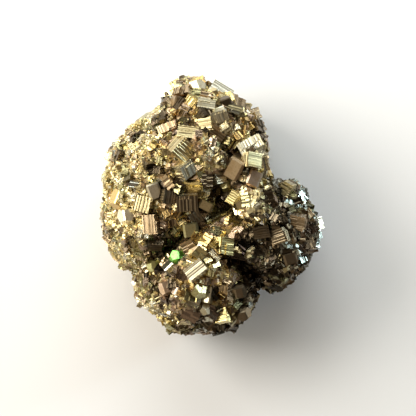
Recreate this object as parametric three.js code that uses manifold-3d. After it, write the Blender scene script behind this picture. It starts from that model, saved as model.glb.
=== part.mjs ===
// Pyrite specimen: a fist-sized lump of massive, fine-grained pyrite with larger crystals grown on it.
//
// Units are millimetres. The specimen lies on its broken back, so +Z points out of its crystal face,
// +Y runs along the longest way of the lump and +X to its right. The origin is the middle of its
// footprint, on the surface that it lies on.
//
// The lump (matrix) is a sphere whose points are pushed out to the specimen's surface, one distance for
// each direction from its middle. Each crystal is a convex block bounded by the faces of pyrite's habits:
// cube, pyritohedron and octahedron. A crystal sits in a socket in the lump, and where two crystals grew
// against each other the later one is cut back to a contact face.

import * as THREE from "three";
import { ConvexGeometry } from "three/addons/geometries/ConvexGeometry.js";
import { ImprovedNoise } from "three/addons/math/ImprovedNoise.js";
import { mergeVertices } from "three/addons/utils/BufferGeometryUtils.js";
import Module from "manifold-3d";

const wasm = await Module();
wasm.setup();

// ---------------------------------------------------------------- driving dimensions

const BELLY_HEIGHT = 24; // height of the widest level section, where the outline below lies
const FRONT_RISE = 27; // from that section up to the top of the crystal face
const BACK_DROP = 31; // how far down the lump would reach if its back were not broken flat
const OUTLINE_INSET = 1.9; // how far the grains and crystals at the rim stand out of the lump
const ROUNDNESS = 2.3; // 2 makes the cross-section an ellipse, more makes it boxier
const SPHERE_DETAIL = 14; // subdivisions of the icosahedron that the lump starts from
const SOCKET_GAP = 0.3; // clearance between a crystal and whatever it grew against
const BURIED_SHARE = 0.55; // share of a crystal's height that lies below the lump's surface
const FAR_OFF = 200; // a distance well clear of the lump, from which a crystal's seat is found

// Swellings at two scales: [size, height].
const SWELLS = [
  [22, 5.5],
  [9.5, 3.6],
];

// Outline of the widest section, clockwise from the top, seen from above: [x, y].
const OUTLINE = [
  [-7.1, 50.2], [-0.4, 48.4], [7.0, 44.6], [10.4, 38.9], [15.6, 37.4], [18.2, 31.4],
  [20.6, 25.6], [20.8, 20.8], [22.8, 16.2], [23.8, 9.8], [26.6, 8.8], [32.2, 11.6],
  [34.2, 6.0], [35.0, 1.6], [38.0, -3.4], [39.8, -7.0], [39.4, -9.8], [38.4, -13.8],
  [35.2, -17.8], [34.6, -24.0], [32.0, -29.2], [28.4, -32.8], [24.0, -34.8], [18.2, -28.4],
  [15.4, -33.4], [14.4, -39.2], [11.1, -42.8], [8.0, -47.0], [0.4, -50.2], [-7.3, -51.8],
  [-15.2, -51.8], [-19.0, -47.8], [-22.5, -44.0], [-24.4, -38.8], [-29.2, -33.8], [-31.2, -29.4],
  [-31.2, -25.2], [-36.0, -24.6], [-42.0, -15.8], [-43.2, -6.6], [-45.0, 5.5], [-44.2, 19.0],
  [-38.2, 26.0], [-33.0, 35.4], [-24.6, 42.2], [-16.4, 45.4], [-12.6, 49.2],
];

// Ridges, lobes, valleys and pits of the crystal face, each a line from one plan point to another.
// A positive rise is high ground and a negative one a hollow; reach is how far to each side it fades.
const RELIEF = [
  { from: [-20, 15], to: [-8, 20], rise: 5.5, reach: 12 }, // shoulder
  { from: [-8, 42], to: [4, 41], rise: 5, reach: 7 }, // top lobe
  { from: [-27, 30], to: [-9, 31.5], rise: -9, reach: 3.4 }, // upper valley
  { from: [1, 9], to: [6, -7], rise: -9, reach: 7.5 }, // middle hollow
  { from: [-4, -7], to: [-13, -12], rise: -4, reach: 5 }, // hollow mouth
  { from: [13, 17], to: [14, -7], rise: 4.5, reach: 4.5 }, // right ridge
  { from: [-15, -14], to: [-19, -18], rise: -9, reach: 5 }, // lower pit
  { from: [-6, -24], to: [6, -20], rise: 2.5, reach: 6 }, // lower ridge
  { from: [5, -21.5], to: [21, -30], rise: -14, reach: 3.4 }, // cleft
  { from: [1, 23.5], to: [8, 22], rise: -6, reach: 3 }, // upper gap
  { from: [-2.5, 19], to: [1.5, 17], rise: 5, reach: 4.2 }, // rough knob
  { from: [26, -10], to: [31, -16], rise: 5, reach: 8 }, // right lobe
  { from: [22, 12], to: [28, 2], rise: -4, reach: 4 }, // spur gap
  { from: [-12, -38], to: [2, -40], rise: 5.5, reach: 9 }, // bottom lobe
  { from: [-33, -25], to: [-22, -23], rise: -4.5, reach: 4 }, // left notch
];

// ---------------------------------------------------------------- the lump's surface

const noise = new ImprovedNoise();

// Distance from the middle to the outline in the plan direction of an angle.
function planRadius(angle) {
  const ray = new THREE.Vector2(Math.cos(angle), Math.sin(angle));
  let radius = 0;
  for (let i = 0; i < OUTLINE.length; i++) {
    const start = new THREE.Vector2(...OUTLINE[i]);
    const edge = new THREE.Vector2(...OUTLINE[(i + 1) % OUTLINE.length]).sub(start);
    const turn = ray.cross(edge);
    const alongEdge = start.cross(ray) / turn;
    const alongRay = start.cross(edge) / turn;
    if (alongRay > 0 && alongEdge >= 0 && alongEdge <= 1) radius = Math.max(radius, alongRay);
  }
  return radius - OUTLINE_INSET;
}

// Height of the crystal face's ridges and hollows over a plan point.
function relief(x, y) {
  const point = new THREE.Vector3(x, y, 0);
  const nearest = new THREE.Vector3();
  return RELIEF.reduce((sum, { from, to, rise, reach }) => {
    const line = new THREE.Line3(new THREE.Vector3(...from, 0), new THREE.Vector3(...to, 0));
    line.closestPointToPoint(point, true, nearest);
    return sum + rise * Math.exp(-((nearest.distanceTo(point) / reach) ** 2));
  }, 0);
}

// The lump's surface in a direction from its middle, with the middle at the origin.
function surfacePoint(direction) {
  const level = Math.hypot(direction.x, direction.y);
  const half = direction.z > 0 ? FRONT_RISE : BACK_DROP;
  const across = (level / planRadius(Math.atan2(direction.y, direction.x))) ** ROUNDNESS;
  const up = (Math.abs(direction.z) / half) ** ROUNDNESS;
  const point = direction.clone().multiplyScalar((across + up) ** (-1 / ROUNDNESS));
  let push = THREE.MathUtils.smoothstep(direction.z, 0.1, 0.6) * relief(point.x, point.y);
  for (const [size, height] of SWELLS) {
    push += height * noise.noise(point.x / size, point.y / size, point.z / size);
  }
  point.setLength(point.length() + push);
  if (point.z < -BELLY_HEIGHT) point.multiplyScalar(BELLY_HEIGHT / -point.z);
  return point;
}

function lumpGeometry() {
  const geometry = new THREE.IcosahedronGeometry(1, SPHERE_DETAIL);
  geometry.deleteAttribute("normal");
  geometry.deleteAttribute("uv");
  const closed = mergeVertices(geometry, 1e-4);
  const places = closed.attributes.position;
  for (let i = 0; i < places.count; i++) {
    const place = surfacePoint(new THREE.Vector3().fromBufferAttribute(places, i).normalize());
    places.setXYZ(i, place.x, place.y, place.z + BELLY_HEIGHT);
  }
  closed.computeVertexNormals();
  return closed;
}

// ---------------------------------------------------------------- pyrite's crystal habits

// Face normals of the three families that bound pyrite crystals.
const CUBE = [[1, 0, 0], [0, 1, 0], [0, 0, 1]];
const PYRITOHEDRON = [[2, 1, 0], [2, -1, 0], [0, 2, 1], [0, 2, -1], [1, 0, 2], [-1, 0, 2]];
const OCTAHEDRON = [[1, 1, 1], [1, 1, -1], [1, -1, 1], [-1, 1, 1]];

// A habit says how deep the slanting families cut into the cube's edges and corners.
// A share of 1 leaves the cube whole.
const HABITS = {
  cube: { edges: 1.0, corners: 0.96 },
  bevelled: { edges: 0.9, corners: 0.94 },
  cubopyritohedron: { edges: 0.8, corners: 0.88 },
  pyritohedron: { edges: 0.69, corners: 0.8 },
};

// The planes of a crystal with the given cube edge lengths, moved out by grow.
function crystalPlanes(edges, habit, grow) {
  const half = new THREE.Vector3(...edges).multiplyScalar(0.5);
  const { edges: edgeCut, corners: cornerCut } = HABITS[habit];
  const families = [
    [CUBE, 1],
    [PYRITOHEDRON, edgeCut],
    [OCTAHEDRON, cornerCut],
  ];
  return families.flatMap(([normals, share]) =>
    normals.flatMap((face) =>
      [1, -1].map((side) => {
        const normal = new THREE.Vector3(...face).normalize().multiplyScalar(side);
        const reach = new THREE.Vector3(...normal.toArray().map(Math.abs)).dot(half);
        return new THREE.Plane(normal, -(reach * share + grow));
      }),
    ),
  );
}

// The corners of the solid inside all the planes: every meeting point of three that no other cuts off.
function cornersInside(planes) {
  const corners = [];
  for (let i = 0; i < planes.length; i++) {
    for (let j = i + 1; j < planes.length; j++) {
      for (let k = j + 1; k < planes.length; k++) {
        const [a, b, c] = [planes[i], planes[j], planes[k]];
        const spread = a.normal.dot(b.normal.clone().cross(c.normal));
        if (Math.abs(spread) < 1e-6) continue;
        const corner = new THREE.Vector3()
          .addScaledVector(b.normal.clone().cross(c.normal), -a.constant)
          .addScaledVector(c.normal.clone().cross(a.normal), -b.constant)
          .addScaledVector(a.normal.clone().cross(b.normal), -c.constant)
          .divideScalar(spread);
        const inside = planes.every((plane) => plane.distanceToPoint(corner) < 1e-5);
        if (inside && corners.every((other) => other.distanceTo(corner) > 1e-3)) corners.push(corner);
      }
    }
  }
  return corners;
}

function crystalGeometry(edges, habit, grow = 0) {
  return new ConvexGeometry(cornersInside(crystalPlanes(edges, habit, grow)));
}

// ---------------------------------------------------------------- cutting solids

function solidOf(geometry) {
  const bare = new THREE.BufferGeometry().setAttribute("position", geometry.getAttribute("position"));
  if (geometry.index) bare.setIndex(geometry.index);
  const merged = mergeVertices(bare, 1e-4);
  return new wasm.Manifold(
    new wasm.Mesh({
      numProp: 3,
      vertProperties: new Float32Array(merged.attributes.position.array),
      triVerts: new Uint32Array(merged.index.array),
    }),
  );
}

function geometryOf(solid) {
  const mesh = solid.getMesh();
  const geometry = new THREE.BufferGeometry();
  geometry.setAttribute("position", new THREE.BufferAttribute(new Float32Array(mesh.vertProperties), 3));
  geometry.setIndex(new THREE.BufferAttribute(new Uint32Array(mesh.triVerts), 1));
  geometry.computeVertexNormals();
  return geometry;
}

// The largest of a solid's separate bodies, so that a cut leaves no loose chips.
function largestBody(solid) {
  return solid.decompose().reduce((best, body) => (body.volume() > best.volume() ? body : best));
}

// ---------------------------------------------------------------- the crystals

// Each row is a crystal: name, habit, cube edge lengths, place, turn and, where it stands proud, a lift.
// It leans towards a plan bearing by a tilt, after a spin about its own axis: turn is
// [bearing, tilt, spin]. Angles are in degrees.

// The place of a crystal on the crystal face is the plan point that it stands over.
const FACE_CRYSTALS = [
  ["top_pyritohedron", "pyritohedron", [7, 7, 6.5], [-6, 45.6], [100, 30, 20]],
  ["top_right_block", "cube", [8.6, 5.2, 5.6], [2.8, 44.4], [62, 28, -32]],
  ["top_left_cube", "cube", [4, 4, 4], [-15, 44.8], [150, 25, 25]],
  ["upper_dark_block", "bevelled", [3.8, 5.4, 4.2], [-13.8, 40.2], [330, 25, -10]],
  ["upper_amber_cube", "cube", [4.6, 4.2, 4.2], [-8.6, 40.2], [200, 20, 50]],
  ["upper_grey_block", "cube", [6.8, 4.6, 5], [-2.8, 38], [80, 38, -8], 0.5],
  ["upper_olive_cube", "bevelled", [4.4, 4.4, 4], [4.6, 40], [300, 25, 15]],
  ["upper_brown_block", "cube", [7, 4.6, 5], [1.6, 34.8], [285, 20, 20], 0.6],
  ["upper_right_cube", "cube", [4.4, 4.8, 4.4], [12.6, 33.8], [200, 20, -22]],
  ["upper_striated_cube", "cube", [5, 4.4, 4.6], [-2.6, 31.4], [150, 18, 8]],
  ["upper_slab", "cube", [6.2, 4.4, 4.4], [1.6, 28], [235, 20, -36]],
  ["right_striated_block", "cube", [9.6, 4.6, 5], [14.3, 23.2], [110, 14, 28], 1],
  ["ridge_brown_block", "bevelled", [6.4, 8.6, 6.4], [8.4, 15.2], [225, 26, -30]],
  ["ridge_pale_block", "cube", [5.8, 5.6, 5.8], [14.4, 17.6], [15, 30, -8], 0.8],
  ["shoulder_cube", "cube", [7.2, 6.8, 7.2], [-12, 22.2], [322, 24, 48], 1.6],
  ["shoulder_lower_cube", "cube", [5.8, 5.4, 6], [-11, 14.2], [350, 36, 30], 1],
  ["valley_slab", "cube", [7.2, 3.6, 4], [-17.6, 29.8], [110, 30, 24]],
  ["shoulder_grey_block", "cube", [8, 4.6, 5], [-9.4, 27.8], [95, 18, -8], 0.6],
  ["hollow_striated_cube", "cube", [4.6, 5.8, 5], [-3, 10.6], [350, 16, 2]],
  ["hollow_amber_cube", "cube", [4.4, 4.4, 4.4], [2, 11], [20, 28, 15]],
  ["hollow_rounded_crystal", "pyritohedron", [5, 5, 4.8], [5, 8.4], [60, 12, 0]],
  ["hollow_yellow_block", "cube", [3.6, 5.4, 4.4], [8, 3.7], [165, 14, -30], 0.6],
  ["hollow_dark_block", "cube", [8, 6.4, 6.4], [-9.8, 2.6], [272, 24, 3], 0.5],
  ["hollow_dark_cube", "cube", [5, 5.2, 5], [-17.4, 4], [350, 26, -8]],
  ["left_pale_block", "cube", [6.4, 6, 6], [-26.2, 1.2], [170, 14, -14]],
  ["left_brown_cube", "bevelled", [5, 6.2, 5.2], [-22.4, 6.6], [300, 16, 20]],
  ["left_rounded_crystal", "pyritohedron", [7, 7, 6.6], [-32.6, -3], [180, 20, 10]],
  ["left_yellow_crystal", "pyritohedron", [6.6, 9, 6.4], [-35.6, 3.4], [150, 22, -20]],
  ["left_lower_block", "cube", [5.2, 7, 5.6], [-23.2, -6.2], [185, 24, 5], 0.6],
  ["hollow_long_block", "bevelled", [5.4, 3.6, 4], [-3, 1], [280, 15, -28]],
  ["floor_striated_cube", "cube", [4.8, 4.6, 4.6], [-7.2, -3.4], [320, 22, 30]],
  ["floor_olive_cube", "bevelled", [5.8, 5.6, 5.4], [-8.4, -8.2], [270, 12, 8]],
  ["pit_dark_block", "cube", [5.4, 4.6, 5], [-22.2, -13.4], [80, 32, 2]],
  ["pit_lower_left_cube", "cubopyritohedron", [4.8, 4.6, 4.6], [-22.4, -22.2], [10, 34, 5]],
  ["green_tarnished_crystal", "pyritohedron", [5.6, 5.6, 5], [-13.8, -18.8], [58, 27, 0], 1.5],
  ["pit_lower_cube", "bevelled", [5.2, 5.2, 5], [-15.8, -23], [310, 28, 45]],
  ["lower_striated_block", "cube", [7.8, 5.2, 5.6], [-6.3, -23.6], [150, 13, 38], 0.8],
  ["pit_brown_cube", "cube", [5, 4.6, 4.6], [-9, -14.2], [250, 24, 30]],
  ["lower_amber_block", "cube", [5.6, 6.4, 5.6], [4, -14.6], [5, 34, -6]],
  ["bottom_brown_crystal", "cubopyritohedron", [6, 6, 5.8], [-17.6, -30.4], [90, 5, 20]],
  ["bottom_pale_block", "bevelled", [3.8, 6.8, 4.4], [-1.9, -33], [170, 22, -8]],
  ["cleft_olive_block", "cubopyritohedron", [5.8, 5.4, 5.4], [9.6, -32], [300, 18, 12]],
  ["bottom_right_crystal", "pyritohedron", [6.2, 6.2, 6], [11.2, -40.4], [330, 35, 30]],
  ["bottom_yellow_block", "cube", [4.6, 6, 4.8], [3.4, -41], [150, 24, 12]],
  ["right_lobe_cube", "cube", [5.4, 5.4, 5.4], [25.2, -10.6], [200, 24, 20], 0.8],
  ["right_lobe_block", "cube", [5.6, 5.6, 5.4], [32, -5.4], [230, 16, -10]],
  ["spur_block", "cube", [4, 5.4, 4.6], [28.6, 7.2], [200, 20, -28], 0.6],
  ["ridge_lower_block", "bevelled", [5.2, 6.6, 5.2], [15, 10.6], [35, 18, -24]],
  ["ridge_foot_block", "cube", [6, 4.8, 4.8], [18.2, -8.6], [265, 22, 10]],
  ["right_lower_block", "bevelled", [5.4, 5.2, 5], [28.8, -18.6], [310, 28, 20]],
];

// The place of a crystal on the sides is its [bearing, height angle] seen from the lump's middle.
const SIDE_CRYSTALS = [
  ["right_tip_crystal", "cube", [3.6, 4.6, 3.8], [-9, 10], [20, 40, 12]],
  ["left_side_cube", "cube", [6, 6.4, 6], [176, -22], [180, 85, 15]],
  ["left_side_pyritohedron", "pyritohedron", [7, 7, 7], [205, -14], [205, 80, 30]],
  ["upper_side_cube", "bevelled", [7, 6, 6.4], [128, -16], [125, 75, 40]],
  ["far_side_block", "cube", [7, 6, 6], [70, -30], [70, 80, 20]],
  ["right_side_block", "cube", [6.6, 6, 6], [22, -24], [25, 85, 35]],
  ["right_side_pyritohedron", "pyritohedron", [6.6, 6.6, 6.6], [-34, -22], [-30, 75, 10]],
  ["near_side_cube", "cube", [6.6, 6.4, 6], [-98, -13], [-100, 80, 25]],
];

const PYRITE = { color: 0xb59c66, roughness: 0.3, metalness: 1.0 };
const GREEN_TARNISH = { color: 0x6fd060, roughness: 0.3, metalness: 1.0 };
const MASSIVE_PYRITE = { color: 0x9c8557, roughness: 0.5, metalness: 1.0 };

const lump = new THREE.Mesh(lumpGeometry(), new THREE.MeshStandardMaterial(MASSIVE_PYRITE));
lump.name = "matrix";

// Where a crystal meets the lump, coming in from far outside along a line.
function seat(far, outward) {
  const caster = new THREE.Raycaster(far, outward.clone().negate());
  return caster.intersectObject(lump)[0].point;
}

function seatOverPoint([x, y]) {
  const up = new THREE.Vector3(0, 0, 1);
  return { foot: seat(new THREE.Vector3(x, y, FAR_OFF), up), outward: up };
}

function seatAlongBearing([bearing, height]) {
  const [polar, azimuth] = [90 - height, bearing].map(THREE.MathUtils.degToRad);
  const outward = new THREE.Vector3().setFromSphericalCoords(1, polar, azimuth);
  outward.set(outward.z, outward.x, outward.y);
  const far = new THREE.Vector3(0, 0, BELLY_HEIGHT).addScaledVector(outward, FAR_OFF);
  return { foot: seat(far, outward), outward };
}

function placedCrystal([name, habit, edges, place, turn, lift = 0], seatOf) {
  const material = new THREE.MeshStandardMaterial(name.startsWith("green") ? GREEN_TARNISH : PYRITE);
  const mesh = new THREE.Mesh(crystalGeometry(edges, habit), material);
  mesh.name = name;
  const { foot, outward } = seatOf(place);
  const mean = (edges[0] + edges[1] + edges[2]) / 3;
  mesh.position.copy(foot).addScaledVector(outward, (0.5 - BURIED_SHARE) * mean + lift);
  const [bearing, tilt, spin] = turn.map(THREE.MathUtils.degToRad);
  mesh.rotation.set(0, tilt, bearing, "ZYX");
  mesh.rotateZ(spin - bearing);
  mesh.updateMatrix();
  return { mesh, socket: solidOf(crystalGeometry(edges, habit, SOCKET_GAP)) };
}

// Cuts a crystal back from the sockets of the crystals that grew before it.
function cutBack(crystal, earlier) {
  const toLocal = crystal.mesh.matrix.clone().invert();
  const whole = solidOf(crystal.mesh.geometry);
  const cut = earlier.reduce((solid, other) => {
    const socket = other.socket.transform(toLocal.clone().multiply(other.mesh.matrix).elements);
    return solid.intersect(socket).isEmpty() ? solid : solid.subtract(socket);
  }, whole);
  crystal.mesh.geometry = geometryOf(largestBody(cut));
}

const crystals = [
  ...FACE_CRYSTALS.map((row) => placedCrystal(row, seatOverPoint)),
  ...SIDE_CRYSTALS.map((row) => placedCrystal(row, seatAlongBearing)),
];
crystals.forEach((crystal, i) => cutBack(crystal, crystals.slice(0, i)));

const socketed = crystals.reduce(
  (solid, { mesh, socket }) => solid.subtract(socket.transform(mesh.matrix.elements)),
  solidOf(lump.geometry),
);
lump.geometry = geometryOf(largestBody(socketed));

// ---------------------------------------------------------------- the specimen

const specimen = new THREE.Group();
specimen.add(lump, ...crystals.map(({ mesh }) => mesh));

// The origin goes to the middle of the footprint.
const box = new THREE.Box3().setFromObject(specimen, true);
const middle = box.getCenter(new THREE.Vector3());
specimen.children.forEach((mesh) => mesh.position.sub(new THREE.Vector3(middle.x, middle.y, box.min.z)));

export default specimen;
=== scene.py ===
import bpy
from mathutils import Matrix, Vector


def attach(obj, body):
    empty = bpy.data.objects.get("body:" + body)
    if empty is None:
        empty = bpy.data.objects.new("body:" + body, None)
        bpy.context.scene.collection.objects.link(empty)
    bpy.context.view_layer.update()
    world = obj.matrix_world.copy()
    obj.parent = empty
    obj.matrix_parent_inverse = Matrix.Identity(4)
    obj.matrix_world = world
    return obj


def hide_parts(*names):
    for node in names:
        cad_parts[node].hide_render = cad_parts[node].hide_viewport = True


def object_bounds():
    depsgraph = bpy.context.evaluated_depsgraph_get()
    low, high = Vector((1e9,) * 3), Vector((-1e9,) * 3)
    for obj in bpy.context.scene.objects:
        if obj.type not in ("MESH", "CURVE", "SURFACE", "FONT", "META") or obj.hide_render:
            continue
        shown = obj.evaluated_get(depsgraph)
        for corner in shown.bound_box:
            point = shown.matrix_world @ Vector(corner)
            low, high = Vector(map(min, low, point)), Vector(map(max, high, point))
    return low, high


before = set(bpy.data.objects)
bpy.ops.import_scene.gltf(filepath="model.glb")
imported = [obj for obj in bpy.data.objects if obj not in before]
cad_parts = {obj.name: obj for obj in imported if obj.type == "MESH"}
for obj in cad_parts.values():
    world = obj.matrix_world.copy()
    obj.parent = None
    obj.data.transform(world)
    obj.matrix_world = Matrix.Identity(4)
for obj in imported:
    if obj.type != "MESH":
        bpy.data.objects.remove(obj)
cad_box = [list(corner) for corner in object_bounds()]

import math

import bpy
import numpy as np
from mathutils import Vector, kdtree
from mathutils.bvhtree import BVHTree

MM = 0.001
rng = np.random.default_rng(11)

# Areas to share out among the lump's grains and the crust's patches, mm2.
LUMP_AREA = 18000
CRUST_AREA = 26000
FACE_HEIGHT = 18  # the crystal face lies over this height, mm
LUMP_DETAIL = 0.75  # the size of the faces of the lump's own surface, mm

# ------------------------------------------------------------------ meshes and arrays


def arrays(obj):
    """An object's vertices in millimetres, and its triangles."""
    mesh = obj.data
    mesh.calc_loop_triangles()
    verts = np.empty(len(mesh.vertices) * 3, np.float32)
    mesh.vertices.foreach_get("co", verts)
    tris = np.empty(len(mesh.loop_triangles) * 3, np.int32)
    mesh.loop_triangles.foreach_get("vertices", tris)
    return verts.reshape(-1, 3).astype(float) / MM, tris.reshape(-1, 3)


def triangle_normals(verts, tris):
    """Each triangle's unit normal and area."""
    cross = np.cross(verts[tris[:, 1]] - verts[tris[:, 0]], verts[tris[:, 2]] - verts[tris[:, 0]])
    double = np.linalg.norm(cross, axis=1)
    return cross / np.maximum(double, 1e-12)[:, None], double / 2


def make_object(name, verts, faces, tint, material):
    """A mesh object from vertices in millimetres, with the colour of each face's metal, painted shade and highlights
    included.
    """
    mesh = bpy.data.meshes.new(name)
    mesh.from_pydata((verts * MM).tolist(), [], faces.tolist())
    layer = mesh.attributes.new("tint", "FLOAT_COLOR", "FACE")
    rgba = np.ones((len(faces), 4), np.float32)
    rgba[:, :3] = tint
    layer.data.foreach_set("color", rgba.ravel())
    mesh.materials.append(material)
    obj = bpy.data.objects.new(name, mesh)
    bpy.context.scene.collection.objects.link(obj)
    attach(obj, "root")
    return obj


def smoothstep(x, low, high):
    """0 up to the low value, 1 from the high one, and a smooth rise between them."""
    t = np.clip((x - low) / (high - low), 0, 1)
    return t * t * (3 - 2 * t)


def turns_from(q):
    """Rotation matrices from quaternions of any length."""
    q = q / np.linalg.norm(q, axis=1)[:, None]
    w, x, y, z = q.T
    return np.stack(
        [
            np.stack([1 - 2 * (y * y + z * z), 2 * (x * y - w * z), 2 * (x * z + w * y)], 1),
            np.stack([2 * (x * y + w * z), 1 - 2 * (x * x + z * z), 2 * (y * z - w * x)], 1),
            np.stack([2 * (x * z - w * y), 2 * (y * z + w * x), 1 - 2 * (x * x + y * y)], 1),
        ],
        1,
    )


def random_turns(count):
    """Rotation matrices that turn crystals every way."""
    return turns_from(rng.normal(size=(count, 4)))


def slight_turns(count, angle):
    """Rotations by about an angle, in radians."""
    return turns_from(np.hstack([np.ones((count, 1)), rng.normal(size=(count, 3)) * angle / 2]))


# ------------------------------------------------------------------ materials

# The places of the Mix node's colour sockets.
MIX_A, MIX_B, MIX_RESULT = 6, 7, 2
CLOUD_SCALE = 240.0
CLOUD_SHADE = (0.82, 0.73, 0.58)
GRAIN_SHADE = (0.45, 0.40, 0.32)


def metal(name, roughness, grain, bump):
    """Natural pyrite: the colour of each face's metal, painted shade and highlights included, clouded with tarnish and
    specked with a fine dark grain that also lies in the surface as small relief."""
    material = bpy.data.materials.new(name)
    material.use_nodes = True
    tree = material.node_tree
    shader = tree.nodes["Principled BSDF"]
    shader.inputs["Metallic"].default_value = 1.0
    shader.inputs["Roughness"].default_value = roughness

    def texture(scale, detail, rough):
        """Noise through the whole piece."""
        made = tree.nodes.new("ShaderNodeTexNoise")
        made.inputs["Scale"].default_value = scale
        made.inputs["Detail"].default_value = detail
        made.inputs["Roughness"].default_value = rough
        tree.links.new(place, made.inputs["Vector"])
        return made.outputs["Fac"]

    def between(value, low, high, top):
        """How far a value is from low to high, as a share of top."""
        scale = tree.nodes.new("ShaderNodeMapRange")
        scale.inputs["From Min"].default_value = low
        scale.inputs["From Max"].default_value = high
        scale.inputs["To Max"].default_value = top
        tree.links.new(value, scale.inputs["Value"])
        return scale.outputs[0]

    def multiplied(colour, factor, by):
        """A colour darkened by another one, as much as the factor says."""
        mix = tree.nodes.new("ShaderNodeMix")
        mix.data_type = "RGBA"
        mix.blend_type = "MULTIPLY"
        tree.links.new(factor, mix.inputs["Factor"])
        tree.links.new(colour, mix.inputs[MIX_A])
        mix.inputs[MIX_B].default_value = (*by, 1)
        return mix.outputs[MIX_RESULT]

    place = tree.nodes.new("ShaderNodeTexCoord").outputs["Object"]
    tint = tree.nodes.new("ShaderNodeAttribute")
    tint.attribute_name = "tint"
    fine = texture(grain, 3.0, 0.7)
    clouds = texture(CLOUD_SCALE, 4.0, 0.6)
    colour = multiplied(tint.outputs["Color"], between(clouds, 0.5, 0.72, 0.7), CLOUD_SHADE)
    colour = multiplied(colour, between(fine, 0.5, 0.72, 0.6), GRAIN_SHADE)
    tree.links.new(colour, shader.inputs["Base Color"])

    relief = tree.nodes.new("ShaderNodeBump")
    relief.inputs["Strength"].default_value = bump
    relief.inputs["Distance"].default_value = 0.0002
    tree.links.new(fine, relief.inputs["Height"])
    tree.links.new(relief.outputs["Normal"], shader.inputs["Normal"])
    return material


massive = metal("massive_pyrite", roughness=0.36, grain=1500.0, bump=0.6)
grains = metal("grain_pyrite", roughness=0.26, grain=1500.0, bump=0.3)
sugar = metal("sugary_pyrite", roughness=0.47, grain=1500.0, bump=0.6)
blocks = metal("crystal_pyrite", roughness=0.31, grain=1800.0, bump=0.2)
green = metal("green_tarnish", roughness=0.3, grain=1500.0, bump=0.12)

# The colours of pyrite's metal, from fresh to tarnished. The bright one also serves as painted highlight, and the dark
# one as painted shade.
SHADES = {
    "pale": (0.84, 0.79, 0.60),
    "brass": (0.70, 0.60, 0.35),
    "gold": (0.76, 0.63, 0.30),
    "amber": (0.62, 0.45, 0.20),
    "olive": (0.46, 0.43, 0.24),
    "bronze": (0.50, 0.385, 0.25),
    "rose": (0.55, 0.42, 0.315),
    "grey": (0.56, 0.55, 0.47),
    "dark": (0.17, 0.135, 0.09),
    "bright": (0.94, 0.89, 0.70),
    "silver": (0.76, 0.72, 0.59),
    "lime": (0.62, 0.60, 0.27),
    "umber": (0.31, 0.25, 0.17),
    "green": (0.30, 0.80, 0.20),
}
# How common each shade is: on the fine-grained side, in the middle, and on the right side and in the pockets, where the
# many dark shades are painted shade.
LEFT_SHARES = {"pale": 0.16, "brass": 0.31, "gold": 0.10, "olive": 0.25, "silver": 0.04, "bronze": 0.14}
MIDDLE_SHARES = {
    "bronze": 0.22, "rose": 0.14, "brass": 0.18, "amber": 0.13, "gold": 0.12, "olive": 0.10, "dark": 0.06, "pale": 0.05,
}
RIGHT_SHARES = {"bronze": 0.28, "rose": 0.12, "dark": 0.32, "grey": 0.10, "brass": 0.09, "olive": 0.09}


def picked_shades(points):
    """A shade of metal for each place."""
    fine, dark = look(points)
    names = list(SHADES)
    chances = np.zeros((len(points), len(names)))
    for shares, weight in ((LEFT_SHARES, fine), (RIGHT_SHARES, dark), (MIDDLE_SHARES, 1 - fine - dark)):
        for shade, share in shares.items():
            chances[:, names.index(shade)] += share * np.clip(weight, 0, 1)
    chances /= chances.sum(1)[:, None]
    pick = (chances.cumsum(1) > rng.random(len(points))[:, None]).argmax(1)
    return np.array([SHADES[name] for name in names])[pick]


def with_painted_shade(colours, points, hidden):
    """Each crystal's colour with painted shade: darker the more its place is hidden in a hollow, and darker in the
    pockets, on the right lobe and at the lower end; a little lighter on the fine-grained left, with a random spread.
    """
    fine, dark = look(points)
    # Painted shade: the more of the sky the specimen hides over a place, the darker its colour.
    hollow = 1 - (0.8 - 0.4 * fine) * smoothstep(hidden, 0.35, 0.8)
    # Painted shade on the right lobe, the lower end and the pockets, beside a random spread of tone.
    shadow = hollow * (1 + 0.04 * fine) * (1 - 0.57 * dark) * rng.uniform(0.84, 1.08, len(points))
    return np.clip(colours * shadow[:, None], 0.02, 0.95)


# ------------------------------------------------------------------ the massive lump

lump_verts, lump_tris = arrays(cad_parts["matrix"])


def fine_lump():
    """The lump's own surface in even small faces: vertices, normals and quads."""
    mesh = bpy.data.meshes.new("lump_copy")
    mesh.from_pydata((lump_verts * MM).tolist(), [], lump_tris.tolist())
    obj = bpy.data.objects.new("lump_copy", mesh)
    bpy.context.scene.collection.objects.link(obj)
    remesh = obj.modifiers.new("even", "REMESH")
    remesh.mode = "VOXEL"
    remesh.voxel_size = LUMP_DETAIL * MM
    remesh.use_smooth_shade = False
    fine = bpy.data.meshes.new_from_object(obj.evaluated_get(bpy.context.evaluated_depsgraph_get()))
    bpy.data.objects.remove(obj)
    verts = np.empty(len(fine.vertices) * 3, np.float32)
    fine.vertices.foreach_get("co", verts)
    normals = np.empty(len(fine.vertices) * 3, np.float32)
    fine.vertices.foreach_get("normal", normals)
    quads = np.array([p.vertices[:] for p in fine.polygons if len(p.vertices) == 4])
    return verts.reshape(-1, 3).astype(float) / MM, normals.reshape(-1, 3).astype(float), quads


def nearest_index(seeds, points):
    """The number of the seed nearest to each point."""
    tree = kdtree.KDTree(len(seeds))
    for i, seed in enumerate(seeds):
        tree.insert(seed, i)
    tree.balance()
    return np.array([tree.find(point)[1] for point in points])


def off_back(points):
    """0 on the flat broken back, rising to 1 a little over it."""
    return smoothstep(points[:, 2], 0.3, 2.5)


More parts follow.
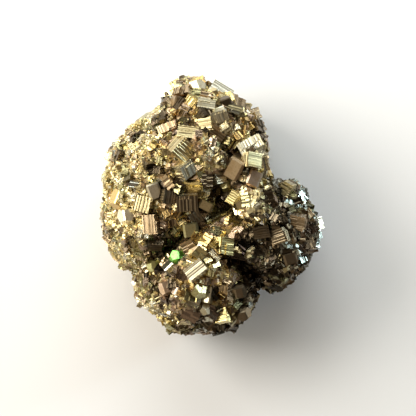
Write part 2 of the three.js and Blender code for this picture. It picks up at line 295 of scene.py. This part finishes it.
def granulate(verts, normals, spacing, height, tilt):
    """Moves the surface into flat grains, each with its own height and slope. The broken back stays flat."""
    count = int(LUMP_AREA / spacing**2)
    seeds = verts[rng.choice(len(verts), count, replace=False)]
    own = nearest_index(seeds, verts)
    rise = rng.uniform(-1, 1, count) * height
    slope = rng.normal(size=(count, 3)) * tilt
    push = rise[own] + np.einsum("ij,ij->i", verts - seeds[own], slope[own])
    push = np.clip(push, -1.6 * height, 1.6 * height) * off_back(verts)
    moved = verts + normals * push[:, None]
    moved[:, 2] = np.maximum(moved[:, 2], 0)
    return moved, own


# The surface under the small crystals, let down a little, more so on the sides, to make room for them.
ground, ground_normals, ground_quads = fine_lump()
lowered = 0.2 + 0.5 * smoothstep(1 - ground_normals[:, 2], 0.35, 0.8)
ground -= ground_normals * (lowered * off_back(ground))[:, None]
ground, _ = granulate(ground, ground_normals, spacing=5.0, height=0.5, tilt=0.14)
ground, grain_of = granulate(ground, ground_normals, spacing=1.6, height=0.3, tilt=0.35)
ground_tree = BVHTree.FromPolygons(ground.tolist(), ground_quads.tolist())

# ------------------------------------------------------------------ where each look lies

# Places where the crust is rough and fine-grained, with no crystal standing out: x, y and radius.
GRAINY = (
    (-1.0, 17.5, 5.5), (13.0, 8.0, 5.0), (22.0, -15.0, 6.0), (16.0, -20.5, 5.0), (-23.0, 37.0, 5.0), (6.0, -26.0, 4.0),
    (18.0, 0.0, 4.5), (-12.0, -37.0, 4.5), (3.0, -6.0, 4.0), (-11.5, -18.5, 4.0),
    (-7.0, 21.5, 3.2),
)

# Pockets and gaps between the crystals, the same way, where shadow is painted into the colour.
SHADOW_POCKETS = (
    (-17.5, -14.5, 6.5), (-17.2, -35.0, 3.5), (-4.8, -43.5, 4.5), (4.5, 22.5, 2.6), (6.6, 16.5, 2.2), (9.0, 9.5, 2.4),
    (2.0, 6.5, 2.6), (-13.0, 9.0, 2.6), (13.0, -12.0, 4.0), (-31.2, -13.0, 2.2), (-21.2, 32.0, 3.0), (-22.0, 14.1, 2.2),
    (-35.0, 20.2, 1.8), (-39.7, -9.0, 1.6), (-18.2, 6.2, 2.6), (-28.5, 26.5, 1.8), (-16.5, 39.5, 1.8), (3.0, 36.5, 1.8),
    (-24.5, -27.5, 2.2), (-20.0, -31.5, 2.0), (-16.0, -28.0, 1.8), (-9.5, 30.5, 2.0), (-4.5, 41.5, 1.6),
    (-30.5, 8.5, 1.5),
)

# Places away from the left side that are as fine-grained and pale as it is.
KNOBS = ((-1.2, 17.0, 4.5), (14.5, 6.5, 3.5))


def within(points, places):
    """How near the middle of the nearest of some places each point is, from 0 to 1."""
    x, y, _ = points.T
    return np.max([np.exp(-((x - px) ** 2 + (y - py) ** 2) / radius**2) for px, py, radius in places], axis=0)


def look(points):
    """How fine-grained and pale (the left side), and how much painted shade (the right lobe, the lower end and the
    pockets) each place takes."""
    x, y, _ = points.T
    fine = smoothstep(-x + 0.12 * (y - 5) + 10 * smoothstep(-y, 24, 42), 16, 24)
    fine = np.maximum(fine, 0.6 * within(points, KNOBS))
    # Painted shade: the right lobe and the lower end, the side away from the light, are darkened.
    right = smoothstep(x - 0.3 * y, 12, 24)
    low_end = smoothstep(0.35 * x - y, 38, 49)
    # Painted shadow in the pockets and gaps between the crystals.
    pocket = (1.2 * within(points, SHADOW_POCKETS)).clip(0, 1)
    return fine * (1 - pocket), np.maximum(np.maximum(right, low_end) * (1 - 0.7 * fine), pocket)


# Sharp edges in the crust, as lines of places on the crystal face: pale ones on the middle ridge, and cool ones round
# the right lobe. Their crystals take a painted highlight, pale on the ridge, and a painted cool reflection round the
# lobe.
PALE_HIGHLIGHT_EDGES = (
    ((10.6, 13.0), (12.1, 10.5), (12.3, 7.5), (11.3, 3.5), (11.6, 0.5), (10.3, -3.5)),
    ((17.8, 8.5), (16.8, 4.5), (14.8, 0.5), (13.8, -2.5)),
)
COOL_REFLECTION_EDGES = (
    ((31.2, 11.4), (33.0, 7.7), (33.9, 2.3)),
    ((27.6, 1.0), (31.2, -0.2), (35.4, -1.4), (39.1, -3.8), (42.7, -6.8), (40.9, -10.5), (39.7, -14.7)),
    ((27.3, -13.5), (31.3, -15.9), (33.6, -21.5)),
)


def near_edges(points, edges, width):
    """Which places on the crystal face lie along the edges."""
    near = np.zeros(len(points), bool)
    for edge in edges:
        for start, end in zip(np.array(edge), np.array(edge[1:])):
            run = end - start
            along = np.clip((points[:, :2] - start) @ run / (run @ run), 0, 1)
            near |= np.linalg.norm(points[:, :2] - start - along[:, None] * run, axis=1) < width
    return near & (points[:, 2] > FACE_HEIGHT)


def follow_edges_with_painted_highlights(points, turns, colours, width):
    """Turns the crystals on each sharp edge the same way, and paints the edge's light into their colour: a pale
    highlight on the ridge, a cool reflection round the right lobe.
    """
    for edges, direction, shade in (
        (PALE_HIGHLIGHT_EDGES, (-0.30, 0.12, 0.95), (0.76, 0.68, 0.42)),
        (COOL_REFLECTION_EDGES, (0.58, 0.24, 0.78), (0.74, 0.84, 0.80)),
    ):
        near = near_edges(points, edges, width)
        turns[near] = facing_out(np.tile(direction, (near.sum(), 1)), 0.35)
        # Painted highlight: the colour is blended most of the way to the edge's light.
        colours[near] = 0.35 * colours[near] + 0.65 * np.array(shade)


SKY_RAYS = 14
SKY_START = 0.8  # the rays start this high over their place, mm
SKY_LEAN = 1.25  # and lean outward, for the most part
SKY_REACH = 16.0  # nothing further off than this hides the sky, mm


def hiding(points, normals):
    """The share of the open sky over each place that the specimen itself hides."""
    rays = rng.normal(size=(SKY_RAYS, 3))
    rays /= np.linalg.norm(rays, axis=1)[:, None]
    share = np.zeros(len(points))
    for i, (point, normal) in enumerate(zip(points, normals)):
        start = Vector(point + SKY_START * normal)
        hits = 0
        for ray in rays:
            outward = ray + SKY_LEAN * normal
            hits += ground_tree.ray_cast(start, Vector(outward), SKY_REACH)[0] is not None
        share[i] = hits / len(rays)
    return share


# ------------------------------------------------------------------ the large crystals


def cube_axes(verts, tris):
    """A crystal's cube axes: the normal of its largest flat face, the largest one across that, and the third.
    A pyritohedron has no faces at right angles, and any axes serve for its size."""
    normals, areas = triangle_normals(verts, tris)
    groups = []
    for normal, area in sorted(zip(normals, areas), key=lambda pair: -pair[1]):
        for group in groups:
            if abs(group[0] @ normal) > 0.995:
                group[1] += area
                break
        else:
            groups.append([normal, area])
    groups.sort(key=lambda group: -group[1])
    first = groups[0][0]
    second = next((normal for normal, _ in groups if abs(normal @ first) < 0.06), None)
    if second is None:
        return np.eye(3)
    second = second - (second @ first) * first
    second /= np.linalg.norm(second)
    return np.array([first, second, np.cross(first, second)])


GROOVE_DEPTH = 0.45  # of the striations' pitch
GROOVE_SLOPE = 0.5


def striations(length, pitch):
    """Lines across a face, how deep it lies at each, and the shade of each strip between them: level steps and steep
    facets in turn, each strip darker the deeper it lies. The face is level along its two sides, further than it is
    deep."""
    depth = GROOVE_DEPTH * pitch
    margin = depth + 0.04
    lines, depths = [0.0, margin], [0.0, 0.0]
    while lines[-1] < length - margin - 0.5:
        lines.append(lines[-1] + rng.uniform(0.3, 1.0) * pitch)
        depths.append(depths[-1])
        run = rng.uniform(0.35, 0.8) * pitch
        down = depths[-1] < 0.05 or (depths[-1] < 0.8 * depth and rng.random() < 0.5)
        lines.append(lines[-1] + run)
        change = GROOVE_SLOPE * run
        depths.append(min(depth, depths[-1] + change) if down else max(0.0, depths[-1] - change))
    keep = [i for i, line in enumerate(lines) if line < length - margin - 0.06]
    lines = [lines[i] for i in keep] + [length - margin, length]
    depths = np.array([depths[i] for i in keep] + [0.0, 0.0])
    deep = (depths[1:] + depths[:-1]) / (2 * depth)
    strips = rng.uniform(0.8, 1.16, len(deep)) * (1 - 0.5 * np.clip(deep, 0, 1))
    return np.array(lines) - length / 2, depths, strips


def striated_block(centre, axes, sizes, pitch):
    """A pyrite cube or block in triangles, with the shade of each. The striations of its three pairs of faces run at
    right angles to each other, so every edge has the grooves of one of its faces ending on it."""
    made = [striations(size, pitch) for size in sizes]
    lines, depths, strips = zip(*made)
    last = [len(line) - 1 for line in lines]
    verts, found, faces, tones = [], {}, [], []

    def on_edge(place):
        """The vertex at a line of each axis, two of which are the first or last one. It is sunk by its groove."""
        if place not in found:
            point = [lines[axis][line] for axis, line in enumerate(place)]
            for axis, line in enumerate(place):
                point[axis - 1] -= math.copysign(depths[axis][line], point[axis - 1])
            found[place] = len(verts)
            verts.append(point)
        return found[place]

    for axis in range(3):
        across, along = (axis + 1) % 3, (axis + 2) % 3
        for end in (0, last[axis]):
            for line in range(last[across]):
                ring = []
                for side, outermost in ((line, line == 0), (line + 1, line + 1 == last[across])):
                    # The outermost strips meet every groove that ends on the block's edge.
                    steps = range(last[along] + 1) if outermost else (0, last[along])
                    places = [{axis: end, across: side, along: step} for step in steps]
                    corners = [on_edge((place[0], place[1], place[2])) for place in places]
                    ring += corners[::-1] if ring else corners
                faces.append(ring if end == 0 else ring[::-1])
                tones.append(strips[across][line])

    mesh = bpy.data.meshes.new("block")
    mesh.from_pydata(verts, [], faces)
    mesh.calc_loop_triangles()
    tris = np.array([t.vertices[:] for t in mesh.loop_triangles])
    tones = np.array([tones[t.polygon_index] for t in mesh.loop_triangles])
    bpy.data.meshes.remove(mesh)
    return centre + np.array(verts) @ axes, tris, tones


def flat_crystal(verts, tris):
    """A smooth-faced crystal with its sharp edges broken."""
    mesh = bpy.data.meshes.new("facets")
    mesh.from_pydata(verts.tolist(), [], tris.tolist())
    obj = bpy.data.objects.new("facets", mesh)
    bpy.context.scene.collection.objects.link(obj)
    decimate = obj.modifiers.new("whole_faces", "DECIMATE")
    decimate.decimate_type = "DISSOLVE"
    decimate.angle_limit = math.radians(2)
    bevel = obj.modifiers.new("broken_edges", "BEVEL")
    bevel.width = 0.09
    bevel.segments = 1
    bevel.limit_method = "ANGLE"
    bevel.angle_limit = math.radians(12)
    obj.modifiers.new("triangles", "TRIANGULATE")
    made = bpy.data.meshes.new_from_object(obj.evaluated_get(bpy.context.evaluated_depsgraph_get()))
    bpy.data.objects.remove(obj)
    points = np.array([v.co[:] for v in made.vertices])
    return points, np.array([p.vertices[:] for p in made.polygons]), np.ones(len(made.polygons))


# The shades of the crystals that don't take one from their place.
# The bright ones are partly painted highlight, and the dark and umber ones in the pit, hollows, cleft and on the right
# are partly painted shade, beside their own tarnish.
LARGE_SHADES = {
    "top_pyritohedron": "pale", "top_right_block": "grey", "upper_amber_cube": "gold", "upper_grey_block": "pale",
    "upper_brown_block": "bright", "upper_striated_cube": "brass", "upper_slab": "bronze", "valley_slab": "bronze",
    "shoulder_cube": "brass", "shoulder_lower_cube": "bright", "shoulder_grey_block": "brass",
    "right_striated_block": "bright", "ridge_brown_block": "bronze", "ridge_pale_block": "brass",
    "ridge_lower_block": "rose", "ridge_foot_block": "dark", "spur_block": "brass",
    "hollow_striated_cube": "umber", "hollow_amber_cube": "pale", "hollow_rounded_crystal": "olive",
    "hollow_yellow_block": "gold", "hollow_dark_block": "umber", "hollow_dark_cube": "umber",
    "hollow_long_block": "brass", "floor_striated_cube": "umber", "floor_olive_cube": "olive",
    "left_pale_block": "brass", "left_brown_cube": "bright", "left_rounded_crystal": "bright",
    "left_yellow_crystal": "amber", "left_lower_block": "bronze", "pit_dark_block": "dark",
    "pit_lower_left_cube": "lime", "pit_lower_cube": "grey", "pit_brown_cube": "bronze",
    "lower_striated_block": "pale", "lower_amber_block": "gold", "bottom_brown_crystal": "rose",
    "bottom_pale_block": "pale", "bottom_yellow_block": "gold", "bottom_right_crystal": "umber",
    "cleft_olive_block": "umber", "right_lobe_cube": "dark", "right_lobe_block": "bronze",
    "right_lower_block": "umber", "right_tip_crystal": "bright", "green_tarnished_crystal": "green",
}

# The crystals whose striations run the other way across each face.
CROSSED = {
    "shoulder_cube", "shoulder_lower_cube", "lower_striated_block", "top_right_block", "upper_grey_block",
    "right_lobe_block", "left_pale_block", "left_lower_block",
}


def parallel_growths(centre, axes, sizes, pitch):
    """A block with two smaller ones grown on it in the same directions, as stepped pyrite crystals have."""
    blocks = [striated_block(centre, axes, sizes, pitch)]
    for _ in range(2):
        share = rng.uniform(0.45, 0.8, 3)
        side = rng.choice((-1, 1), 3)
        # The smaller block stands out of the main one on two axes, and lies under its face on the third.
        proud = rng.uniform(0.15, 0.5, 3)
        proud[rng.integers(3)] *= -2
        shift = side * (sizes * (1 - share) / 2 + proud)
        blocks.append(striated_block(centre + shift @ axes, axes, sizes * share, pitch))
    starts = np.cumsum([0] + [len(block[0]) for block in blocks[:-1]])
    return (
        np.concatenate([verts for verts, _, _ in blocks]),
        np.concatenate([faces + start for (_, faces, _), start in zip(blocks, starts)]),
        np.concatenate([tones for _, _, tones in blocks]),
    )


# A crystal is a block if its faces have at least this share of the area of the box round it.
BOXY_SHARE = 0.93

# Each large crystal's middle, cube axes and sizes, for the small ones to stay clear of.
large = []
for name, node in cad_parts.items():
    if name == "matrix":
        continue
    verts, tris = arrays(node)
    axes = cube_axes(verts, tris)
    if name in CROSSED:
        axes = np.array([axes[1], -axes[0], axes[2]])
    along = verts @ axes.T
    low, high = along.min(0), along.max(0)
    centre, sizes = ((low + high) / 2) @ axes, high - low
    _, areas = triangle_normals(verts, tris)
    box_area = 2 * (sizes[0] * sizes[1] + sizes[1] * sizes[2] + sizes[2] * sizes[0])
    boxy = areas.sum() > BOXY_SHARE * box_area
    large.append((centre, axes, sizes))
    pitch = 0.24 + 0.036 * sizes.mean()
    block, faces, tones = parallel_growths(centre, axes, sizes, pitch) if boxy else flat_crystal(verts, tris)
    tint = np.array(SHADES[LARGE_SHADES[name]]) if name in LARGE_SHADES else picked_shades(centre[None])[0]
    material = green if name == "green_tarnished_crystal" else blocks
    piece = make_object(name + "_facets", block, faces, tint * tones[:, None], material)
    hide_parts(name)

# ------------------------------------------------------------------ the ground piece

# Each grain of the surface has one colour. The ground shows in the gaps between the small crystals, so shadow is
# painted on it: darker than they are, less on the fine-grained left and more on the dark right, with the painted shade
# of hollows and pockets too.
seeds = np.unique(grain_of, return_index=True)[1]
grain_colour = np.zeros((grain_of.max() + 1, 3))
fine, dark = look(ground[seeds])
grain_hidden = hiding(ground[seeds], ground_normals[seeds])
painted_gap_shadow = (0.45 + 0.45 * fine - 0.1 * dark)[:, None]
grain_colour[grain_of[seeds]] = with_painted_shade(picked_shades(ground[seeds]), ground[seeds], grain_hidden) * painted_gap_shadow
ground_tint = grain_colour[grain_of[ground_quads[:, 0]]]
lump = make_object("massive_lump", ground, ground_quads, ground_tint, massive)
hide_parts("matrix")

# ------------------------------------------------------------------ the small crystals

CUBE_VERTS = np.array([[x, y, z] for x in (-1, 1) for y in (-1, 1) for z in (-1, 1)]) / 2
CUBE_FACES = np.array([[0, 1, 3, 2], [4, 6, 7, 5], [0, 4, 5, 1], [2, 3, 7, 6], [0, 2, 6, 4], [1, 5, 7, 3]])


def triangles_of(faces):
    """Faces of any number of corners, as triangles."""
    return np.array([[face[0], face[i], face[i + 1]] for face in faces for i in range(1, len(face) - 1)])


def pyritohedron():
    """Twelve five-sided faces: the habit that gives pyrite's rounded crystals."""
    corners = [[x, y, z] for x in (-1, 1) for y in (-1, 1) for z in (-1, 1)]
    h, w = 3 / 2, 3 / 4
    for a in (-1, 1):
        for b in (-1, 1):
            corners += [[0, a * h, b * w], [a * h, b * w, 0], [b * w, 0, a * h]]
    verts = np.array(corners) / (2 * h)
    faces = []
    for axis in range(3):
        for side in (-1, 1):
            for lean in (-1, 1):
                normal = np.zeros(3)
                normal[axis], normal[(axis + 2) % 3] = 2 * side, lean
                reach = verts @ normal
                ring = np.flatnonzero(reach > reach.max() - 1e-6)
                spokes = verts[ring] - verts[ring].mean(0)
                u = spokes[0] / np.linalg.norm(spokes[0])
                v = np.cross(normal, u)
                angle = np.arctan2(spokes @ v / np.linalg.norm(v), spokes @ u)
                faces.append(ring[np.argsort(angle)].tolist())
    return verts, faces


def seats(count):
    """Random places on the lump's surface with their outward normals."""
    tris = np.concatenate([ground_quads[:, [0, 1, 2]], ground_quads[:, [0, 2, 3]]])
    normals, areas = triangle_normals(ground, tris)
    chosen = rng.choice(len(tris), count, p=areas / areas.sum())
    a, b = rng.random((2, count, 1))
    flip = a + b > 1
    a, b = np.where(flip, 1 - a, a), np.where(flip, 1 - b, b)
    corner = ground[tris[chosen]]
    points = corner[:, 0] + a * (corner[:, 1] - corner[:, 0]) + b * (corner[:, 2] - corner[:, 0])
    return points, normals[chosen]


def clear_of_large(points, margin):
    """Which points lie outside every large crystal grown by its margin."""
    free = np.ones(len(points), bool)
    for centre, axes, sizes in large:
        local = np.abs((points - centre) @ axes.T)
        free &= (local > sizes / 2 + margin[:, None]).any(1)
    return free


def thinned(points, radii):
    """Keeps each point only if no kept one is nearer than its radius."""
    cell = radii.max()
    kept, grid = [], {}
    for i, (point, radius) in enumerate(zip(points, radii)):
        key = tuple((point // cell).astype(int))
        near = (
            j
            for dx in (-1, 0, 1)
            for dy in (-1, 0, 1)
            for dz in (-1, 0, 1)
            for j in grid.get((key[0] + dx, key[1] + dy, key[2] + dz), ())
        )
        if all(((points[j] - point) ** 2).sum() > (0.5 * (radius + radii[j])) ** 2 for j in near):
            grid.setdefault(key, []).append(i)
            kept.append(i)
    return np.array(kept)


def facing_out(normals, lean):
    """Rotation matrices that turn a crystal's third axis within a lean of each outward normal, in radians."""
    axis = normals + rng.normal(size=normals.shape) * lean / 1.6
    axis /= np.linalg.norm(axis, axis=1)[:, None]
    side = np.cross(axis, rng.normal(size=axis.shape))
    side /= np.linalg.norm(side, axis=1)[:, None]
    return np.stack([side, np.cross(axis, side), axis], 2)


def placed_copies(shapes, centres, sizes, turns, colours):
    """Vertices, faces and colours of many small crystals, each a stretched copy of one of the shapes."""
    which = rng.integers(len(shapes), size=len(centres))
    all_verts, all_faces, all_colours, used = [], [], [], 0
    for i, (verts, faces, tones) in enumerate(shapes):
        mine = np.flatnonzero(which == i)
        placed = np.einsum("nij,nvj->nvi", turns[mine], verts[None] * sizes[mine, None, :]) + centres[mine, None, :]
        low, high = placed.min(1), placed.max(1)
        inside = (low[:, 2] > FLOOR_GAP) & (low > LOW_LIMIT).all(1) & (high < HIGH_LIMIT).all(1)
        placed, mine = placed[inside], mine[inside]
        all_verts.append(placed.reshape(-1, 3))
        offsets = used + (np.arange(len(placed)) * len(verts))[:, None, None]
        all_faces.append((faces[None] + offsets).reshape(-1, faces.shape[1]))
        all_colours.append((colours[mine, None] * tones[None, :, None]).reshape(-1, 3))
        used += len(placed) * len(verts)
    return np.concatenate(all_verts), np.concatenate(all_faces), np.concatenate(all_colours)


def scatter(name, shapes, chosen, centres, sizes, turns, colours, material):
    """One piece of many small crystals."""
    made = placed_copies(shapes, centres[chosen], sizes[chosen], turns[chosen], colours[chosen])
    make_object(name, *made, material)


def equal_parts(values, count):
    """Which of a count of equal parts each value falls in, from the lowest to the highest."""
    return np.argsort(np.argsort(values)) * count // len(values)


def grown_together(points, spacing, apart):
    """A direction and a shade for each crystal. Crystals of one patch of crust share them, but for a few."""
    seeds = rng.choice(len(ground), int(CRUST_AREA / spacing**2), replace=False)
    patch = nearest_index(ground[seeds], points)
    turns = facing_out(ground_normals[seeds], 0.9)[patch] @ slight_turns(len(points), 0.16)
    colours = picked_shades(ground[seeds])[patch]
    alone = rng.random(len(points)) < apart
    turns[alone] = random_turns(alone.sum())
    colours[alone] = picked_shades(points[alone])
    return turns, colours


def with_growths(centres, sizes, turns, colours):
    """Each crystal with two smaller ones grown on it in the same directions."""
    rows = [(centres, sizes, turns, colours)]
    for _ in range(2):
        share = rng.uniform(0.45, 0.8, sizes.shape)
        way = rng.choice((-1, 1), sizes.shape) * sizes
        shift = way * ((1 - share) / 2 + rng.uniform(-0.05, 0.09, sizes.shape))
        rows.append((centres + np.einsum("nij,nj->ni", turns, shift), sizes * share, turns, colours))
    return [np.concatenate(column) for column in zip(*rows)]


# The small crystals stay over the floor and, but for a grain's height, within the specimen's measured box.
FLOOR_GAP = 0.05
GRAIN_HEIGHT = 0.9
LOW_LIMIT = np.array(cad_box[0]) / MM - GRAIN_HEIGHT
HIGH_LIMIT = np.array(cad_box[1]) / MM + GRAIN_HEIGHT

# Shapes to copy, one unit across: vertices, faces and the shade of each face.
rounded_verts, rounded_faces = pyritohedron()
rounded_tris = triangles_of(rounded_faces)
ROUNDED = (rounded_verts, rounded_tris, np.ones(len(rounded_tris)))
PLAIN = (CUBE_VERTS, CUBE_FACES, np.ones(len(CUBE_FACES)))
MODEL_SIZE, MODEL_PITCH, MODELS = 4.0, 0.85, 12
STRIATED = []
for _ in range(MODELS):
    verts, tris, tones = striated_block(np.zeros(3), np.eye(3), np.full(3, MODEL_SIZE), MODEL_PITCH)
    STRIATED.append((verts / MODEL_SIZE, tris, tones))

# How many places are tried, and the range of sizes in mm.
MEDIUM_TRIED, MEDIUM_SIZES = 14000, (1.9, 5.6)
FINE_TRIED, FINE_SIZES = 84000, (0.6, 1.7)
ROUND_SHARE = 0.18
SECTORS = 8

# Medium crystals: large in the middle and on the right, few on the fine-grained left.
points, normals = seats(MEDIUM_TRIED)
fine, dark = look(points)
sizes = rng.uniform(*MEDIUM_SIZES, len(points)) * (1 - 0.5 * fine) * (1 - 0.3 * dark)
keep = (rng.random(len(points)) < 1 - 0.7 * fine) & (within(points, GRAINY) < 0.35)
keep &= clear_of_large(points, 0.2 * sizes) & (points[:, 2] > 1.5)
points, normals, sizes = points[keep], normals[keep], sizes[keep]
keep = thinned(points, 0.58 * sizes)
points, normals, sizes = points[keep], normals[keep], sizes[keep]
outward = (rng.random(len(points)) < 0.6)[:, None, None]
turns = np.where(outward, facing_out(normals, lean=0.6), random_turns(len(points)))
# Painted shade in hollows, pockets, on the right lobe and at the lower end.
colours = with_painted_shade(picked_shades(points), points, hiding(points, normals))
# Painted highlights along the sharp edges.
follow_edges_with_painted_highlights(points, turns, colours, width=0.9)
centres = points + normals * (0.03 * sizes)[:, None]
sizes = sizes[:, None] * rng.uniform(0.65, 1.35, (len(points), 3))
round_ones = rng.random(len(points)) < ROUND_SHARE
scatter("medium_pyritohedra", [ROUNDED], round_ones, centres, 1.1 * sizes, turns, colours, grains)
cubes = [column[~round_ones] for column in (centres, sizes, turns, colours)]
centres, sizes, turns, colours = with_growths(*cubes)
sector = equal_parts(np.arctan2(centres[:, 1], centres[:, 0]), SECTORS)
for part in range(SECTORS):
    scatter(f"medium_cubes_{part + 1}", STRIATED, sector == part, centres, sizes, turns, colours, grains)

# Fine crystals everywhere, finest and closest on the left and in the grainy places.
points, normals = seats(FINE_TRIED)
fine, _ = look(points)
close = np.clip(fine + within(points, GRAINY), 0, 1)
sizes = rng.uniform(*FINE_SIZES, len(points)) * (1 - 0.35 * fine)
keep = rng.random(len(points)) < 0.3 + 0.7 * close
keep &= clear_of_large(points, 0.1 * sizes) & (points[:, 2] > 0.8)
points, normals, sizes = points[keep], normals[keep], sizes[keep]
turns, colours = grown_together(points, spacing=3.4, apart=0.3)
# Painted shade in hollows, pockets, on the right lobe and at the lower end.
colours = with_painted_shade(colours, points, hiding(points, normals))
# Painted highlights along the sharp edges.
follow_edges_with_painted_highlights(points, turns, colours, width=1.1)
proud = 0.06 + 0.3 * near_edges(points, PALE_HIGHLIGHT_EDGES + COOL_REFLECTION_EDGES, width=0.7)
centres = points + normals * (proud * sizes)[:, None]
sizes = sizes[:, None] * rng.uniform(0.75, 1.25, (len(points), 3))
third = equal_parts(points[:, 0], 3)
for part, side in enumerate(("left", "middle", "right")):
    scatter("fine_crystals_" + side, [PLAIN], third == part, centres, sizes, turns, colours, sugar)

# ------------------------------------------------------------------ floor, lights and camera

floor_mesh = bpy.data.meshes.new("floor")
floor_mesh.from_pydata([(-3, -3, 0), (3, -3, 0), (3, 3, 0), (-3, 3, 0)], [], [(0, 1, 2, 3)])
floor = bpy.data.objects.new("floor", floor_mesh)
bpy.context.scene.collection.objects.link(floor)
paper = bpy.data.materials.new("paper")
paper.use_nodes = True
paper.node_tree.nodes["Principled BSDF"].inputs["Base Color"].default_value = (0.78, 0.79, 0.83, 1)
paper.node_tree.nodes["Principled BSDF"].inputs["Roughness"].default_value = 0.9
floor_mesh.materials.append(paper)


LIT_POINT = Vector((0, 0, 0.03))


def area_light(name, place, size, power, colour):
    """A panel at a place in metres that faces the specimen."""
    data = bpy.data.lights.new(name, "AREA")
    data.shape = "RECTANGLE"
    data.size, data.size_y = size
    data.energy = power
    data.color = colour
    light = bpy.data.objects.new(name, data)
    bpy.context.scene.collection.objects.link(light)
    light.location = place
    light.rotation_euler = (LIT_POINT - Vector(place)).to_track_quat("-Z", "Y").to_euler()


area_light("window", (-0.55, 0.22, 0.40), (0.45, 0.45), 6.6, (1.0, 0.95, 0.84))
area_light("back_panel", (0.0, 0.60, 0.45), (0.7, 0.3), 4.1, (0.96, 1.0, 0.95))
area_light("right_strip", (0.62, 0.24, 0.16), (0.12, 0.35), 2.4, (0.78, 0.95, 1.0))

# The room is bright on the window's side, and dark on the other.
world = bpy.data.worlds.new("room")
bpy.context.scene.world = world
world.use_nodes = True
tree = world.node_tree
sky = tree.nodes["Background"]
direction = tree.nodes.new("ShaderNodeTexCoord")
parts = tree.nodes.new("ShaderNodeSeparateXYZ")
tree.links.new(direction.outputs["Generated"], parts.inputs[0])
across = tree.nodes.new("ShaderNodeMapRange")
across.inputs["From Min"].default_value = -1
across.inputs["From Max"].default_value = 1
tree.links.new(parts.outputs["X"], across.inputs["Value"])
ramp = tree.nodes.new("ShaderNodeValToRGB")
tree.links.new(across.outputs[0], ramp.inputs[0])
ramp.color_ramp.elements[0].position = 0.05
ramp.color_ramp.elements[0].color = (0.95, 0.84, 0.62, 1)
ramp.color_ramp.elements[1].position = 0.95
ramp.color_ramp.elements[1].color = (0.03, 0.025, 0.02, 1)
ramp.color_ramp.elements.new(0.45).color = (0.26, 0.20, 0.145, 1)
tree.links.new(ramp.outputs[0], sky.inputs[0])

camera_data = bpy.data.cameras.new("camera")
camera_data.lens = 180
camera = bpy.data.objects.new("camera", camera_data)
bpy.context.scene.collection.objects.link(camera)
bpy.context.scene.camera = camera
# Straight down, with this width in view at the height where the outline is widest.
VIEW_WIDTH = 0.1622
WIDEST_HEIGHT = 0.024
VIEW_CENTRE = (-0.00168, -0.00071)
distance = VIEW_WIDTH * camera_data.lens / camera_data.sensor_width
camera.location = (*VIEW_CENTRE, WIDEST_HEIGHT + distance)
bpy.context.scene.view_settings.view_transform = "Standard"
